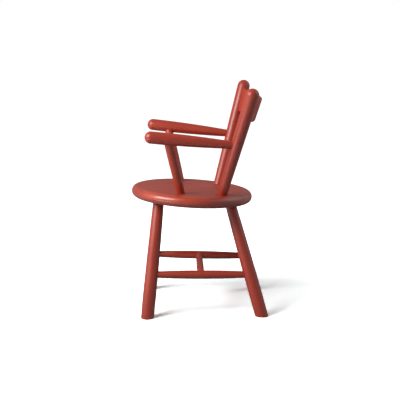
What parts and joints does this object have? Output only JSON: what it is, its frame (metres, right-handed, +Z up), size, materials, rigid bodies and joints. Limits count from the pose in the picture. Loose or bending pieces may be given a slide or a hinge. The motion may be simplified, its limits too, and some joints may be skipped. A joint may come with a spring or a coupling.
{
  "type": "child-size chair",
  "caption": "Small armchair of turned wood for a child: round seat on splayed legs braced by stretchers, raked back posts with a bent rail, and round arms on leaning posts.",
  "frame": {"origin": "on the floor, under the middle of the chair's bounding box", "axes": "+X towards the sitter's left, -Y towards the front, +Z up"},
  "size_m": [0.3304, 0.315, 0.5238],
  "materials": {
    "painted_wood": "satin red paint"
  },
  "bodies": {
    "root": {"seat": "painted_wood", "front_leg_left": "painted_wood", "front_leg_right": "painted_wood", "rear_leg_left": "painted_wood", "rear_leg_right": "painted_wood", "side_stretcher_left": "painted_wood", "side_stretcher_right": "painted_wood", "cross_stretcher": "painted_wood", "back_post_left": "painted_wood", "back_post_right": "painted_wood", "back_rail": "painted_wood", "rail_peg_left": "painted_wood", "rail_peg_right": "painted_wood", "arm_left": "painted_wood", "arm_right": "painted_wood", "arm_post_left": "painted_wood", "arm_post_right": "painted_wood"}
  },
  "joints": []
}
